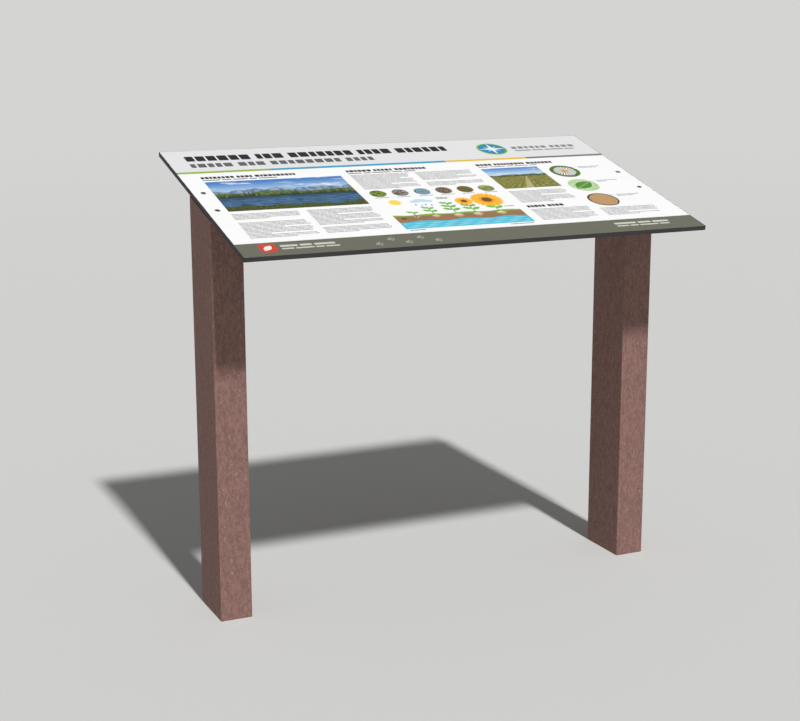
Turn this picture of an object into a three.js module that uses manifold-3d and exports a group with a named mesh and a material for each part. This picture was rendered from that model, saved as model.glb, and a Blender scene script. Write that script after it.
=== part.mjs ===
// Park interpretation sign: a tilted information panel on two rectangular posts.
// The panel lies on the sloping tops of the posts and is held by two screws a post.
// Millimetres, +Z up, +X to the reader's right; the reader stands on the -Y side.
// The origin is on the ground, in the middle of the sign's outline seen from above.
import * as THREE from "three";
import { mergeVertices } from "three/addons/utils/BufferGeometryUtils.js";
import Module from "manifold-3d";

// Panel, measured along and square to its own slope
const panelWidth = 1100;
const panelDepth = 610;
const panelTilt = THREE.MathUtils.degToRad(15.5);
const frontEdgeHeight = 846;
const panelCornerRadius = 2;
const faceThickness = 0.8;
const bondThickness = 0.3;
const boardThickness = 8.9;

// Posts
const postWidth = 73;
const postDepth = 140;
const postSetBack = 218;
const postEdgeRadius = 2.5;

// Bedding pads between the panel and the post tops
const padThickness = 1.5;
const padInset = 6;
const padCornerRadius = 4;

// Panel screws: countersunk flat heads with a six-lobe socket and a pin in its middle
const screwRadius = 3;
const screwLength = 50;
const screwTipChamfer = 1;
const screwEndDistance = 22.5;
const screwEdgeDistance = 25;
const headOverhang = 2.65;
const headRimHeight = 0.5;
const headSink = 0.1;
const socketRadius = 2.4;
const socketLobeDepth = 0.35;
const socketDepth = 1.8;
const socketPinRadius = 0.7;
const socketPinHeight = 1.3;

// Threaded inserts in the post tops
const insertWall = 1.7;
const insertLength = 28;
const insertRidgeDepth = 0.6;
const insertRidgePitch = 5.6;

// Fits
const seatGap = 0.3;
const screwHoleClearance = 0.5;
const countersinkClearance = 0.4;
const padHoleClearance = 1.5;
const tipClearance = 4;
const cutOverrun = 1;

// Facets
const cornerSegments = 5;
const roundSegments = 24;
const lobeCount = 6;
const lobeSegments = 36;

// Heights in the panel's frame, whose z is 0 on the printed face and whose y runs up the slope
const boardTop = -faceThickness - bondThickness;
const boardBottom = boardTop - boardThickness;
const padTop = boardBottom - seatGap;
const padBottom = padTop - padThickness;
const postTop = padBottom - seatGap;
const headTop = -headSink;
const headRimBottom = headTop - headRimHeight;
const headBottom = headRimBottom - headOverhang;
const screwTip = headTop - screwLength;
const insertTop = postTop - seatGap;
const insertBottom = insertTop - insertLength;
const tipBoreBottom = Math.min(screwTip, insertBottom) - tipClearance;

// Radii that follow the screw
const headRadius = screwRadius + headOverhang;
const countersinkRadius = headRadius + countersinkClearance;
const screwHoleRadius = screwRadius + screwHoleClearance;
const countersinkBottom = headRimBottom - (countersinkRadius - screwHoleRadius);
const sleeveBoreRadius = screwRadius + seatGap;
const insertRadius = sleeveBoreRadius + insertWall;

// Places
const panelThickness = -boardBottom;
const outlineDepth = panelDepth * Math.cos(panelTilt) + panelThickness * Math.sin(panelTilt);
const frontEdgeY = -outlineDepth / 2;
const backEdgeHeight = frontEdgeHeight + panelDepth * Math.sin(panelTilt);
const postX = panelWidth / 2 - postWidth / 2;
const postY = frontEdgeY + postSetBack + postDepth / 2;
const screwX = panelWidth / 2 - screwEdgeDistance;
const postTopLength = postDepth / Math.cos(panelTilt);
const screwRowMiddle = (postSetBack + postDepth / 2) / Math.cos(panelTilt);
const screwRowOffset = postTopLength / 2 - screwEndDistance;
const screwRows = [screwRowMiddle - screwRowOffset, screwRowMiddle + screwRowOffset];
const padDepth = postTopLength - 2 * padInset;
const padMiddle = (postSetBack + postDepth / 2 + postTop * Math.sin(panelTilt)) / Math.cos(panelTilt);
const sides = [["left", -1], ["right", 1]];
const rowNames = ["front", "back"];

const materials = {
  face: new THREE.MeshStandardMaterial({ color: 0xf2f2f0, roughness: 0.35, metalness: 0 }),
  board: new THREE.MeshStandardMaterial({ color: 0x4a4a4d, roughness: 0.6, metalness: 0 }),
  post: new THREE.MeshStandardMaterial({ color: 0x8b6c64, roughness: 0.8, metalness: 0 }),
  pad: new THREE.MeshStandardMaterial({ color: 0x1c1c1c, roughness: 0.9, metalness: 0 }),
  screw: new THREE.MeshStandardMaterial({ color: 0x5a585a, roughness: 0.45, metalness: 0.8 }),
  insert: new THREE.MeshStandardMaterial({ color: 0xb8994f, roughness: 0.4, metalness: 0.9 }),
};

// Joining and cutting
const wasm = await Module();
wasm.setup();

function solidOf(geometry, matrix = new THREE.Matrix4()) {
  const bare = geometry.clone();
  bare.deleteAttribute("normal");
  bare.deleteAttribute("uv");
  const merged = mergeVertices(bare).applyMatrix4(matrix);
  return new wasm.Manifold(
    new wasm.Mesh({
      numProp: 3,
      vertProperties: merged.attributes.position.array,
      triVerts: new Uint32Array(merged.index.array),
    }),
  );
}

function geometryOf(solid) {
  const mesh = solid.getMesh();
  const geometry = new THREE.BufferGeometry();
  geometry.setAttribute("position", new THREE.BufferAttribute(mesh.vertProperties, 3));
  geometry.setIndex(new THREE.BufferAttribute(mesh.triVerts, 1));
  const flat = geometry.toNonIndexed();
  flat.computeVertexNormals();
  return flat;
}

// Basic shapes, upright along +Z
function roundedRectangle(width, depth, radius) {
  const x = width / 2 - radius;
  const y = depth / 2 - radius;
  const shape = new THREE.Shape();
  shape.absarc(x, y, radius, 0, Math.PI / 2);
  shape.absarc(-x, y, radius, Math.PI / 2, Math.PI);
  shape.absarc(-x, -y, radius, Math.PI, 1.5 * Math.PI);
  shape.absarc(x, -y, radius, 1.5 * Math.PI, 2 * Math.PI);
  return shape;
}

function extruded(shape, bottom, top) {
  const geometry = new THREE.ExtrudeGeometry(shape, {
    depth: top - bottom,
    bevelEnabled: false,
    curveSegments: cornerSegments,
  });
  return geometry.translate(0, 0, bottom);
}

function cylinder(radius, bottom, top) {
  const geometry = new THREE.CylinderGeometry(radius, radius, top - bottom, roundSegments);
  return geometry.rotateX(Math.PI / 2).translate(0, 0, (bottom + top) / 2);
}

// A turned piece from [radius, height] pairs, listed up its outside from the bottom
function turned(profile) {
  const points = profile.map(([radius, height]) => new THREE.Vector2(radius, height));
  return new THREE.LatheGeometry(points, roundSegments).rotateX(Math.PI / 2);
}

function placed(geometry, x, y, z = 0) {
  return geometry.clone().translate(x, y, z);
}

function addMesh(parent, name, geometry, material, x = 0, y = 0, z = 0) {
  const mesh = new THREE.Mesh(geometry, material);
  mesh.name = name;
  mesh.position.set(x, y, z);
  parent.add(mesh);
  return mesh;
}

// The panel's own frame: x along its width, y up its slope from the front edge, z square to its face
const panelFrame = new THREE.Group();
panelFrame.position.set(0, frontEdgeY, frontEdgeHeight);
panelFrame.rotation.x = panelTilt;
panelFrame.updateMatrixWorld(true);

// The room that a screw needs in the panel, from below the board to above the printed face
function countersunkDrill() {
  return turned([
    [0, boardBottom - cutOverrun],
    [screwHoleRadius, boardBottom - cutOverrun],
    [screwHoleRadius, countersinkBottom],
    [countersinkRadius, headRimBottom],
    [countersinkRadius, cutOverrun],
    [0, cutOverrun],
  ]);
}

// Board and printed face: sheets of one outline, drilled and countersunk together for the screws
function drilledSheet(bottom, top) {
  const outline = roundedRectangle(panelWidth, panelDepth, panelCornerRadius);
  let sheet = solidOf(placed(extruded(outline, bottom, top), 0, panelDepth / 2));
  const drill = countersunkDrill();
  for (const [, side] of sides) {
    for (const row of screwRows) {
      sheet = sheet.subtract(solidOf(placed(drill, side * screwX, row)));
    }
  }
  return geometryOf(sheet);
}

// Bedding pad: a rubber strip on the post's sloping top, pierced for the two screws
function padGeometry(side) {
  const outline = roundedRectangle(postWidth - 2 * padInset, padDepth, padCornerRadius);
  let pad = solidOf(placed(extruded(outline, padBottom, padTop), side * postX, padMiddle));
  const drill = cylinder(screwRadius + padHoleClearance, padBottom - cutOverrun, padTop + cutOverrun);
  for (const row of screwRows) {
    pad = pad.subtract(solidOf(placed(drill, side * screwX, row)));
  }
  return geometryOf(pad);
}

// Post: a solid profile with eased corners, sawn off at the panel's slope and bored for the inserts
function postGeometry(side) {
  const postPlace = new THREE.Matrix4().makeTranslation(side * postX, postY, 0);
  const intoPost = postPlace.clone().invert().multiply(panelFrame.matrixWorld);
  const section = roundedRectangle(postWidth, postDepth, postEdgeRadius);
  let post = solidOf(extruded(section, 0, backEdgeHeight));

  const above = new THREE.BoxGeometry(panelWidth + postWidth, panelDepth, panelDepth);
  post = post.subtract(solidOf(above.translate(0, panelDepth / 2, postTop + panelDepth / 2), intoPost));

  const insertBore = cylinder(insertRadius + seatGap, insertBottom - seatGap, postTop + cutOverrun);
  const tipBore = cylinder(screwHoleRadius, tipBoreBottom, insertBottom);
  for (const row of screwRows) {
    post = post.subtract(solidOf(placed(insertBore, side * screwX, row), intoPost));
    post = post.subtract(solidOf(placed(tipBore, side * screwX, row), intoPost));
  }
  return geometryOf(post);
}

// Screw: a turned blank with a countersunk head, and a lobed socket cut into it around a pin
function screwGeometry() {
  const blank = turned([
    [0, screwTip],
    [screwRadius - screwTipChamfer, screwTip],
    [screwRadius, screwTip + screwTipChamfer],
    [screwRadius, headBottom],
    [headRadius, headRimBottom],
    [headRadius, headTop],
    [0, headTop],
  ]);

  const socket = new THREE.Shape();
  for (let i = 0; i < lobeSegments; i++) {
    const angle = (i / lobeSegments) * 2 * Math.PI;
    const radius = socketRadius + socketLobeDepth * Math.cos(lobeCount * angle);
    const point = [radius * Math.cos(angle), radius * Math.sin(angle)];
    if (i === 0) socket.moveTo(...point);
    else socket.lineTo(...point);
  }
  const socketFloor = headTop - socketDepth;
  const pin = cylinder(socketPinRadius, socketFloor - cutOverrun, socketFloor + socketPinHeight);
  const socketCut = solidOf(extruded(socket, socketFloor, headTop + cutOverrun)).subtract(solidOf(pin));
  return geometryOf(solidOf(blank).subtract(socketCut));
}

// The outside of a ridged sleeve: rings of full radius with valleys between them
function ridges(radius, ridgeDepth, pitch, bottom, top) {
  const count = Math.floor((top - bottom) / pitch);
  const step = (top - bottom) / count;
  const profile = [];
  for (let i = 0; i < count; i++) {
    const start = bottom + i * step;
    profile.push([radius - ridgeDepth, start]);
    profile.push([radius, start + step / 3]);
    profile.push([radius, start + (2 * step) / 3]);
  }
  profile.push([radius - ridgeDepth, top]);
  return profile;
}

// Threaded insert: a ridged sleeve open at both ends
function insertGeometry() {
  return turned([
    [sleeveBoreRadius, insertBottom],
    ...ridges(insertRadius, insertRidgeDepth, insertRidgePitch, insertBottom, insertTop),
    [sleeveBoreRadius, insertTop],
    [sleeveBoreRadius, insertBottom],
  ]);
}

// Assembly
const sign = new THREE.Group();
sign.add(panelFrame);
addMesh(panelFrame, "panel_board", drilledSheet(boardBottom, boardTop), materials.board);
addMesh(panelFrame, "printed_face", drilledSheet(-faceThickness, 0), materials.face);

const screw = screwGeometry();
const insert = insertGeometry();

for (const [sideName, side] of sides) {
  addMesh(sign, `post_${sideName}`, postGeometry(side), materials.post, side * postX, postY);
  addMesh(panelFrame, `bedding_pad_${sideName}`, padGeometry(side), materials.pad);
  rowNames.forEach((rowName, i) => {
    const place = [side * screwX, screwRows[i]];
    addMesh(panelFrame, `panel_screw_${sideName}_${rowName}`, screw, materials.screw, ...place);
    addMesh(panelFrame, `threaded_insert_${sideName}_${rowName}`, insert, materials.insert, ...place);
  });
}

export default sign;
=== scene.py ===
# %% [markdown]
# # A park interpretation sign in Blender
#
# The sign is a low, tilted panel on two stout posts, the kind that stands beside a path and explains
# what the reader is looking at. The posts are solid recycled plastic, the panel is a dark laminate
# board with a thin white printed sheet on top, and four dark screws hold it down.
#
# We start from a fixed frame: the measured solids of the sign. Everything below is made around it, in
# metres, with +X to the reader's right, +Y away from the reader and +Z up. We load it first, because
# every size and place in this lesson is read from it.

# %% Load the frame
import math
import random
from contextlib import contextmanager

import bmesh
import bpy
from mathutils import Matrix, Vector


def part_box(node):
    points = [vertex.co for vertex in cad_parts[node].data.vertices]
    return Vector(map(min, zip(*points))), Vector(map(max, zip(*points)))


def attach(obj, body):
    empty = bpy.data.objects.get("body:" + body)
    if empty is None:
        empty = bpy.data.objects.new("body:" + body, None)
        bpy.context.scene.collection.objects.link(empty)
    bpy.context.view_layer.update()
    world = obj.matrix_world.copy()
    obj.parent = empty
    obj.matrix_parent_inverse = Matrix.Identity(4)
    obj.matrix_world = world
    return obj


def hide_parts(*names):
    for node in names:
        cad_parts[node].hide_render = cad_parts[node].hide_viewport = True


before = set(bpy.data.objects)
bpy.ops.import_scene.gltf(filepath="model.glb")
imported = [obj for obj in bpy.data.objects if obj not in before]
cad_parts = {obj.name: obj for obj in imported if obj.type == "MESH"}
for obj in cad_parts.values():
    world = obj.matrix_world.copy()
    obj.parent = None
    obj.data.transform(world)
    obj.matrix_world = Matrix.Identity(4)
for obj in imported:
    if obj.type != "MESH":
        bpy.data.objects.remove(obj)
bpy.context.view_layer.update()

MM = 0.001
print("frame:", len(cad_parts), "pieces")

# %% [markdown]
# ## The panel's own frame
#
# Nearly everything on the panel lies flat on it. It is easiest to draw that flat, as on a desk, and
# to tilt the finished piece into place, so we need one matrix that carries a flat drawing onto the
# sloping sheet. Its tilt is that of the sheet's largest face. The upright box round a tilted plate is
# larger than the plate by shares of its thickness, so the sheet's own length up the slope is worked
# out from two sides of its box.

# %% Find the panel's frame
sheet_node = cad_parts["printed_face"]
top_polygon = max(sheet_node.data.polygons, key=lambda polygon: polygon.area * polygon.normal.z)
tilt = math.atan2(-top_polygon.normal.y, top_polygon.normal.z)

sheet_low, sheet_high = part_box("printed_face")
sheet_extent = sheet_high - sheet_low
slope_share = math.cos(tilt) ** 2 - math.sin(tilt) ** 2
sheet_width = sheet_extent.x
sheet_depth = (sheet_extent.y * math.cos(tilt) - sheet_extent.z * math.sin(tilt)) / slope_share
width_mm = sheet_width / MM
depth_mm = sheet_depth / MM

reading_edge = Vector((0, sheet_low.y, sheet_high.z - sheet_depth * math.sin(tilt)))
onto_panel = Matrix.Translation(reading_edge) @ Matrix.Rotation(tilt, 4, "X")
print("sheet:", round(width_mm, 2), "by", round(depth_mm, 2), "mm")
print("tilt:", round(math.degrees(tilt), 2), "degrees")

# %% [markdown]
# ## The camera
#
# The viewer stands in front of the sign, a good step to its left, with the eyes a little above the
# panel. The camera's place, angles and lens were worked out from the corners of the panel and the
# posts. Turning a camera is easiest in this order: roll it on its own axis, tip it up from the ground
# to the view, then turn it round the upright axis.

# %% Place the camera
CAMERA_PLACE = Vector((-1.5284, -3.1936, 1.3181))
CAMERA_HEADING = math.radians(24.43)
CAMERA_DIP = math.radians(12.60)
CAMERA_ROLL = math.radians(-0.16)
CAMERA_LENS = 69.96

camera_data = bpy.data.cameras.new("camera")
camera_data.lens = CAMERA_LENS
camera = bpy.data.objects.new("camera", camera_data)
bpy.context.scene.collection.objects.link(camera)
camera.matrix_world = (
    Matrix.Translation(CAMERA_PLACE)
    @ Matrix.Rotation(-CAMERA_HEADING, 4, "Z")
    @ Matrix.Rotation(math.radians(90) - CAMERA_DIP, 4, "X")
    @ Matrix.Rotation(CAMERA_ROLL, 4, "Z")
)
bpy.context.scene.camera = camera
print("camera stands", round((CAMERA_PLACE - reading_edge).length, 2), "m from the reading edge")

# %% [markdown]
# ## Writing materials as sums
#
# A material is a net of nodes, and wiring dozens of Math nodes by hand is hard to read. Small classes
# let us write them as ordinary sums instead. A `Value` wraps what comes out of a node, and Python's
# signs on it add the Math nodes. A `Net` adds any other node, from its type, its settings and what
# goes into its sockets. A `Finish` is the net of one material, with short names for the nodes that
# make patterns. The one used most is `paint`: it lays a colour over another where a pattern goes from
# one level to a second one, higher or lower, as strongly as its last number says.

# %% Wrap sockets so that sums make nodes
def sign(operation, swapped=False):
    """One of Python's signs as a Math node. In a swapped sum the plain number stands first."""
    def add_node(value, other):
        sides = (other, value) if swapped else (value, other)
        return value.net.maths(operation, *sides)

    return add_node


class Value:
    """What comes out of a node. Sums on it add Math nodes, and plain numbers can take part."""

    __add__ = __radd__ = sign("ADD")
    __mul__ = __rmul__ = sign("MULTIPLY")
    __sub__ = sign("SUBTRACT")
    __rsub__ = sign("SUBTRACT", swapped=True)
    __truediv__ = sign("DIVIDE")
    __rtruediv__ = sign("DIVIDE", swapped=True)
    __mod__ = sign("FLOORED_MODULO")
    __rmod__ = sign("FLOORED_MODULO", swapped=True)

    def __init__(self, net, socket):
        self.net = net
        self.socket = socket

    def maths(self, operation, *others):
        return self.net.maths(operation, self, *others)

    def __abs__(self):
        return self.maths("ABSOLUTE")

    def root(self):
        return self.maths("SQRT")

    def floor(self):
        return self.maths("FLOOR")

    def wave(self, kind="SINE"):
        """A wave of the value, from 0 to 1."""
        return 0.5 + 0.5 * self.maths(kind)


# %% Add nodes and link them
class Net:
    """A net of nodes. Its node method adds any node and returns the value that comes out of it."""

    def __init__(self, tree):
        self.tree = tree

    def connect(self, socket, given):
        if isinstance(given, Value):
            self.tree.links.new(given.socket, socket)
        else:
            socket.default_value = given

    def node(self, kind, settings=None, inputs=None, output=0):
        made = self.tree.nodes.new("ShaderNode" + kind)
        for name, setting in (settings or {}).items():
            setattr(made, name, setting)
        for name, given in (inputs or {}).items():
            self.connect(made.inputs[name], given)
        return Value(self, made.outputs[output])

    def maths(self, operation, *values):
        return self.node("Math", {"operation": operation}, dict(enumerate(values)))


# %% Read a colour
def colour(red, green, blue):
    """A colour picked on screen, 0 to 255 a channel, as the linear values that shaders work in."""
    linear = []
    for channel in (red, green, blue):
        share = channel / 255
        linear.append(share / 12.92 if share <= 0.04045 else ((share + 0.055) / 1.055) ** 2.4)
    return (*linear, 1)


# %% Gather one material's nodes
class Finish(Net):
    """One material. A colour in it is a value, or red, green and blue as picked on screen."""

    def __init__(self, name, gloss=0.5):
        self.material = bpy.data.materials.new(name)
        self.material.use_nodes = True
        super().__init__(self.material.node_tree)
        self.shader = self.tree.nodes["Principled BSDF"]
        self.shader.inputs["Specular IOR Level"].default_value = gloss

    def finish_with(self, **sockets):
        for name, given in sockets.items():
            self.connect(self.shader.inputs[name.replace("_", " ").title()], given)
        return self.material

    def place(self):
        return self.node("TexCoord", output="Object")

    def split(self, vector):
        splitter = self.node("SeparateXYZ", {}, {"Vector": vector}).socket.node
        return [Value(self, socket) for socket in splitter.outputs]

    def stretch(self, vector, factors):
        return self.node("VectorMath", {"operation": "MULTIPLY"}, {0: vector, 1: factors})

    def noise(self, vector, scale, detail=2, roughness=0.5):
        inputs = {"Vector": vector, "Scale": scale, "Detail": detail, "Roughness": roughness}
        return self.node("TexNoise", {}, inputs, "Fac")

    def mask(self, value, low, high):
        """0 at the low level, 1 at the high level, and a smooth step between them."""
        inputs = {"Value": value, "From Min": low, "From Max": high}
        return self.node("MapRange", {"interpolation_type": "SMOOTHSTEP"}, inputs)

    def mix(self, first, second, factor):
        tones = [tone if isinstance(tone, Value) else colour(*tone) for tone in (first, second)]
        return self.node("Mix", {"data_type": "RGBA"}, {0: factor, 6: tones[0], 7: tones[1]}, 2)

    def paint(self, below, above, value, low, high, strength=1):
        """Lays one colour over another where the value goes from the low level to the high one."""
        cover = self.mask(value, low, high)
        return self.mix(below, above, cover if strength == 1 else strength * cover)

    def bump(self, height, depth):
        return self.node("Bump", {}, {"Height": height, "Distance": depth}, "Normal")


# %% [markdown]
# ## Recycled plastic for the posts
#
# The posts are moulded from mixed plastic waste, dyed a mauve brown. Seen close it is never one
# colour: soft blotches, a fine fibrous speckle drawn out along the post, and a few pale and dark
# flecks where a scrap didn't melt. The long corners are painted a little paler, partly as rubbed wear
# and partly as a painted highlight along the edge. A photograph of such plastic would repeat and would
# need a seam at every corner. Noise on the object's own coordinates runs on round the corners, and
# squeezing it along the post makes the grain run upwards.

# %% Mix the recycled plastic
# Widths of the paler band along the long corners: rubbed wear, with a painted highlight on the edge.
WORN_HIGHLIT_CORE = 1.0 * MM
WORN_HIGHLIT_END = 3.2 * MM
post_low, post_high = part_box("post_right")
post_middle = (post_low + post_high) / 2
post_half = (post_high - post_low) / 2


def recycled_plastic():
    finish = Finish("recycled_plastic", gloss=0.25)
    place = finish.place()
    along = finish.stretch(place, (1, 1, 0.45))
    blotches = finish.noise(along, 75)
    fibres = finish.noise(along, 200, 4, 0.64)
    speckle = finish.noise(finish.stretch(place, (1, 1, 0.6)), 360)
    streaks = finish.noise(finish.stretch(place, (1, 1, 0.03)), 300)
    flecks = finish.noise(along, 230, 1, 0.4)

    body = finish.paint((123, 94, 87), (148, 112, 104), fibres, 0.32, 0.68)
    body = finish.paint(body, (114, 84, 77), blotches, 0.5, 0.72, 0.45)
    body = finish.paint(body, (160, 126, 118), streaks, 0.55, 0.75, 0.3)
    body = finish.paint(body, (96, 70, 64), speckle, 0.56, 0.72, 0.32)
    body = finish.paint(body, (178, 145, 136), speckle, 0.44, 0.3, 0.34)
    body = finish.paint(body, (188, 158, 149), flecks, 0.7, 0.76, 0.5)

    x, y, _ = finish.split(place)
    side_gap = post_half.x - abs(abs(x) - post_middle.x)
    front_gap = post_half.y - abs(y - post_middle.y)
    # The corners are painted paler: partly rubbed wear, partly a painted edge highlight.
    worn_highlit_corner = 1 - finish.mask(side_gap + front_gap, WORN_HIGHLIT_CORE, WORN_HIGHLIT_END)
    worn_highlit_corner = worn_highlit_corner * finish.mask(blotches + fibres, 0.7, 1.1)
    return finish.finish_with(
        base_color=finish.mix(body, (166, 134, 126), 0.22 * worn_highlit_corner),
        roughness=0.68 + 0.16 * fibres - 0.06 * worn_highlit_corner,
        normal=finish.bump(0.6 * fibres + 0.5 * speckle + 0.25 * streaks, 0.3 * MM),
    )


# %% [markdown]
# ## Dark laminate for the board
#
# The board is many sheets of paper pressed hard with resin. Its faces have a fine leathery grain. Its
# sawn edges show the sheets as very thin lines, paler and darker by turns. Those lines could be cut
# as grooves, but they are thinner than a hair. So they are a noise that changes fast with the
# distance from the face and hardly at all along it, once the coordinates are laid back flat.

# %% Press the dark laminate
def flat_place(finish, corner=(0, 0, 0)):
    """Object coordinates laid back flat, in millimetres, from a corner given in the panel's frame."""
    inputs = {
        "Vector": finish.place(),
        "Location": onto_panel @ Vector(corner),
        "Rotation": (tilt, 0, 0),
        "Scale": (MM, MM, MM),
    }
    return finish.node("Mapping", {"vector_type": "TEXTURE"}, inputs)


def board_laminate():
    finish = Finish("board_laminate", gloss=0.2)
    flat = flat_place(finish)
    plies = finish.noise(finish.stretch(flat, (0.004, 0.004, 2.6)), 1, 2, 0.6)
    grain = finish.noise(flat, 0.9, 3, 0.6)
    cloud = finish.noise(flat, 0.012, 3)
    body = finish.paint((53, 52, 54), (70, 69, 71), plies, 0.35, 0.65)
    return finish.finish_with(
        base_color=finish.paint(body, (52, 51, 53), cloud, 0.45, 0.7, 0.3),
        roughness=0.55 + 0.18 * grain,
        normal=finish.bump(0.6 * grain + 0.4 * plies, 0.12 * MM),
    )


# %% [markdown]
# ## White satin laminate for the printed sheet
#
# The sheet is white and smooth, but a faint ripple breaks up reflections, and a season outdoors has
# left it duller in soft patches. Only its skin is white. Its core is as dark as the board, so the
# sawn edge shows no pale line, and where the arris was filed, the skin is gone: a band about a
# millimetre wide is dark all round the face. A separate frame would need its own thickness, so the
# band is painted, by the distance from the sheet's edges.

# %% Make the white laminate
FILED_BAND = 1.2
BAND_BLUR = 0.15
SKIN_DEPTH = 0.12
SKIN_BLUR = 0.1
RIPPLE_HEIGHT = 0.02 * MM


def white_laminate():
    finish = Finish("white_laminate", gloss=0.2)
    flat = flat_place(finish)
    x, y, height = finish.split(flat)
    ripple = finish.noise(flat, 0.35)
    patches = finish.noise(flat, 0.009, 4, 0.55)
    skin = finish.paint((250, 250, 250), (246, 246, 245), patches, 0.45, 0.8)
    skin_left = finish.mask(height, -SKIN_DEPTH, SKIN_BLUR - SKIN_DEPTH)
    for distance in (width_mm / 2 - abs(x), depth_mm / 2 - abs(y - depth_mm / 2)):
        skin_left = skin_left * finish.mask(distance, FILED_BAND - BAND_BLUR, FILED_BAND + BAND_BLUR)
    return finish.finish_with(
        base_color=finish.mix((62, 61, 63), skin, skin_left),
        roughness=0.45 + 0.12 * finish.mask(patches, 0.35, 0.75) + 0.04 * ripple,
        normal=finish.bump(ripple, RIPPLE_HEIGHT),
    )


# %% [markdown]
# ## Steel, rubber and brass for the small parts
#
# The screws are dark steel with fine scratches and patches of dirt, and their hollow is painted
# darker as shade. The rubber pads under the board and the brass sleeves in the posts show only when
# the sign is taken apart. All are small, so one or two noises are enough, drawn out along the way in
# which the part was worn or turned.
# The frame's own solids then get their finishes by the first words of their names.

# %% Make the small parts' finishes
def dark_steel():
    finish = Finish("screw_dark_steel")
    place = finish.place()
    scratches = finish.noise(finish.stretch(place, (1, 6, 1)), 900, 3, 0.6)
    dirt = finish.noise(place, 300, 3, 0.6)
    # Deeper than a quarter millimetre under the sheet's face, the colour is painted near black as shade
    # in the hollow.
    _, _, height = finish.split(flat_place(finish))
    body = finish.paint((84, 82, 82), (112, 109, 108), scratches, 0.45, 0.75)
    body = finish.paint(body, (62, 59, 57), dirt, 0.52, 0.68, 0.4)
    return finish.finish_with(
        base_color=finish.paint(body, (34, 32, 31), height, -0.25, -1.4, 0.85),
        metallic=0.7,
        roughness=0.42 + 0.25 * scratches,
        normal=finish.bump(scratches, 0.02 * MM),
    )


def pad_rubber():
    finish = Finish("pad_rubber")
    grain = finish.noise(finish.place(), 400, 3, 0.6)
    return finish.finish_with(
        base_color=finish.mix((26, 26, 27), (44, 44, 45), grain),
        roughness=0.75 + 0.15 * grain,
        normal=finish.bump(grain, 0.05 * MM),
    )


def turned_brass():
    finish = Finish("insert_brass")
    marks = finish.noise(finish.stretch(finish.place(), (1, 1, 12)), 500)
    return finish.finish_with(
        base_color=finish.mix((178, 146, 82), (206, 178, 116), marks),
        metallic=1.0,
        roughness=0.3 + 0.2 * marks,
        normal=finish.bump(marks, 0.03 * MM),
    )


# %% Dress the frame's own pieces
finishes = {
    "post": recycled_plastic(),
    "panel_board": board_laminate(),
    "printed_face": white_laminate(),
    "panel_screw": dark_steel(),
    "bedding_pad": pad_rubber(),
    "threaded_insert": turned_brass(),
}


def finish_of(node_name):
    return next(finishes[kind] for kind in finishes if node_name.startswith(kind))


for node_name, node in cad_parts.items():
    for slot in node.material_slots:
        slot.material = finish_of(node_name)
print("dressed", len(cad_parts), "pieces in", len(finishes), "finishes")

# %% [markdown]
# ## Rounding the arrises of board, sheet and posts
#
# The solids have knife-sharp edges, which never catch the light. On the real sign the laminate's
# edges are eased with one stroke of sandpaper, and the posts' sawn ends are a little soft. Modelling
# each piece anew would mean drilling it anew, while a copy of the solid keeps every bore in its
# place. We weld its loose triangles, melt those in one plane back into whole faces, and bevel the
# sharp edges that are left. Sheet and board are bonded before they are sanded, so the edges in the
# joint between them stay sharp.

# %% Select the arrises
EDGE_ANGLE = math.radians(30)
# The joint lies between these heights, measured from the sheet's face.
JOINT_TOP = -0.7 * MM
JOINT_BOTTOM = -1.2 * MM


def select_only(piece):
    bpy.ops.object.select_all(action="DESELECT")
    piece.select_set(True)
    bpy.context.view_layer.objects.active = piece


def select_arrises(piece):
    """Selects the sharp outer edges, apart from those in the joint between sheet and board."""
    mesh = bmesh.from_edit_mesh(piece.data)
    laid_flat = onto_panel.inverted()
    for edge in mesh.edges:
        heights = [(laid_flat @ vertex.co).z for vertex in edge.verts]
        in_joint = all(JOINT_BOTTOM < height < JOINT_TOP for height in heights)
        sharp = edge.is_convex and edge.calc_face_angle() > EDGE_ANGLE
        if sharp and not in_joint:
            edge.select_set(True)
    bmesh.update_edit_mesh(piece.data)


# %% Ease the edges of copied solids
FLAT_ANGLE = math.radians(1)
SMOOTH_ANGLE = math.radians(18)
WELD = 0.002 * MM


def ease_edges(node_name, name, radius):
    piece = bpy.data.objects.new(name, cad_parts[node_name].data.copy())
    bpy.context.scene.collection.objects.link(piece)
    select_only(piece)
    bpy.ops.object.mode_set(mode="EDIT")
    bpy.ops.mesh.select_all(action="SELECT")
    bpy.ops.mesh.remove_doubles(threshold=WELD)
    bpy.ops.mesh.dissolve_limited(angle_limit=FLAT_ANGLE)
    bpy.ops.mesh.select_mode(type="EDGE")
    bpy.ops.mesh.select_all(action="DESELECT")
    select_arrises(piece)
    bpy.ops.mesh.bevel(offset=radius, segments=2, affect="EDGES")
    bpy.ops.mesh.select_mode(type="VERT")
    bpy.ops.object.mode_set(mode="OBJECT")
    bpy.ops.object.shade_smooth_by_angle(angle=SMOOTH_ANGLE)
    piece.data.materials.clear()
    piece.data.materials.append(finish_of(node_name))
    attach(piece, "root")
    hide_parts(node_name)
    print(name, len(piece.data.polygons), "faces")


ease_edges("panel_board", "laminate_board", 0.6 * MM)
ease_edges("printed_face", "white_sheet", 0.15 * MM)
ease_edges("post_left", "left_post", 0.7 * MM)
ease_edges("post_right", "right_post", 0.7 * MM)

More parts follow.
